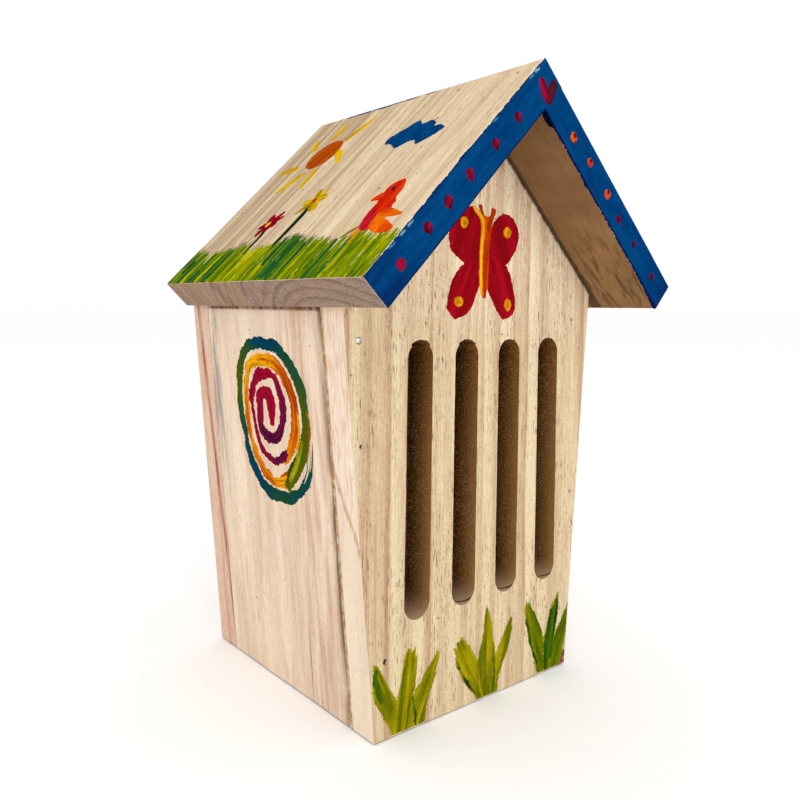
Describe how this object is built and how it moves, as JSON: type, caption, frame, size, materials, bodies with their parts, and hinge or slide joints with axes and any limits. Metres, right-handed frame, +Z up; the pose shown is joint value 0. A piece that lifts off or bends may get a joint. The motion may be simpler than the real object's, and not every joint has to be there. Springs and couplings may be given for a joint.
{
  "type": "insect hotel",
  "caption": "Small nailed pine insect house: tapered box with a slotted gable front and a two-board pitched roof, painted with simple garden motifs.",
  "frame": {"origin": "on the ground, under the ridge and half way along it", "axes": "+Z up, front (slotted face) towards -Y, +X to the right seen from the front"},
  "size_m": [0.14, 0.125, 0.2104],
  "materials": {
    "cream_pine": "planed, unsealed, cream-yellow with fine resin dashes",
    "pink_pine": "planed, unsealed, pinkish with broad soft stripes",
    "roof_pine": "planed, unsealed, cream with grey-brown streaks down the slope",
    "pin_steel": "bright, slightly dulled steel panel pins",
    "motif_paint": "thin brushed acrylic paint in blue, crimson, orange, yellow and greens, satin"
  },
  "bodies": {
    "root": {"back_board": "pink_pine", "back_floor_pin_1": "pin_steel", "back_floor_pin_2": "pin_steel", "back_left_pin_1": "pin_steel", "back_left_pin_2": "pin_steel", "back_left_pin_3": "pin_steel", "back_right_pin_1": "pin_steel", "back_right_pin_2": "pin_steel", "back_right_pin_3": "pin_steel", "floor_board": "pink_pine", "front_board": "cream_pine", "front_floor_pin_1": "pin_steel", "front_floor_pin_2": "pin_steel", "front_left_pin_1": "pin_steel", "front_left_pin_2": "pin_steel", "front_left_pin_3": "pin_steel", "front_right_pin_1": "pin_steel", "front_right_pin_2": "pin_steel", "front_right_pin_3": "pin_steel", "left_roof_board": "roof_pine", "left_roof_pin_1": "pin_steel", "left_roof_pin_2": "pin_steel", "left_side_board": "pink_pine", "ridge_pin_1": "pin_steel", "ridge_pin_2": "pin_steel", "ridge_pin_3": "pin_steel", "right_roof_board": "roof_pine", "right_roof_pin_1": "pin_steel", "right_roof_pin_2": "pin_steel", "right_side_board": "pink_pine"}
  },
  "joints": []
}
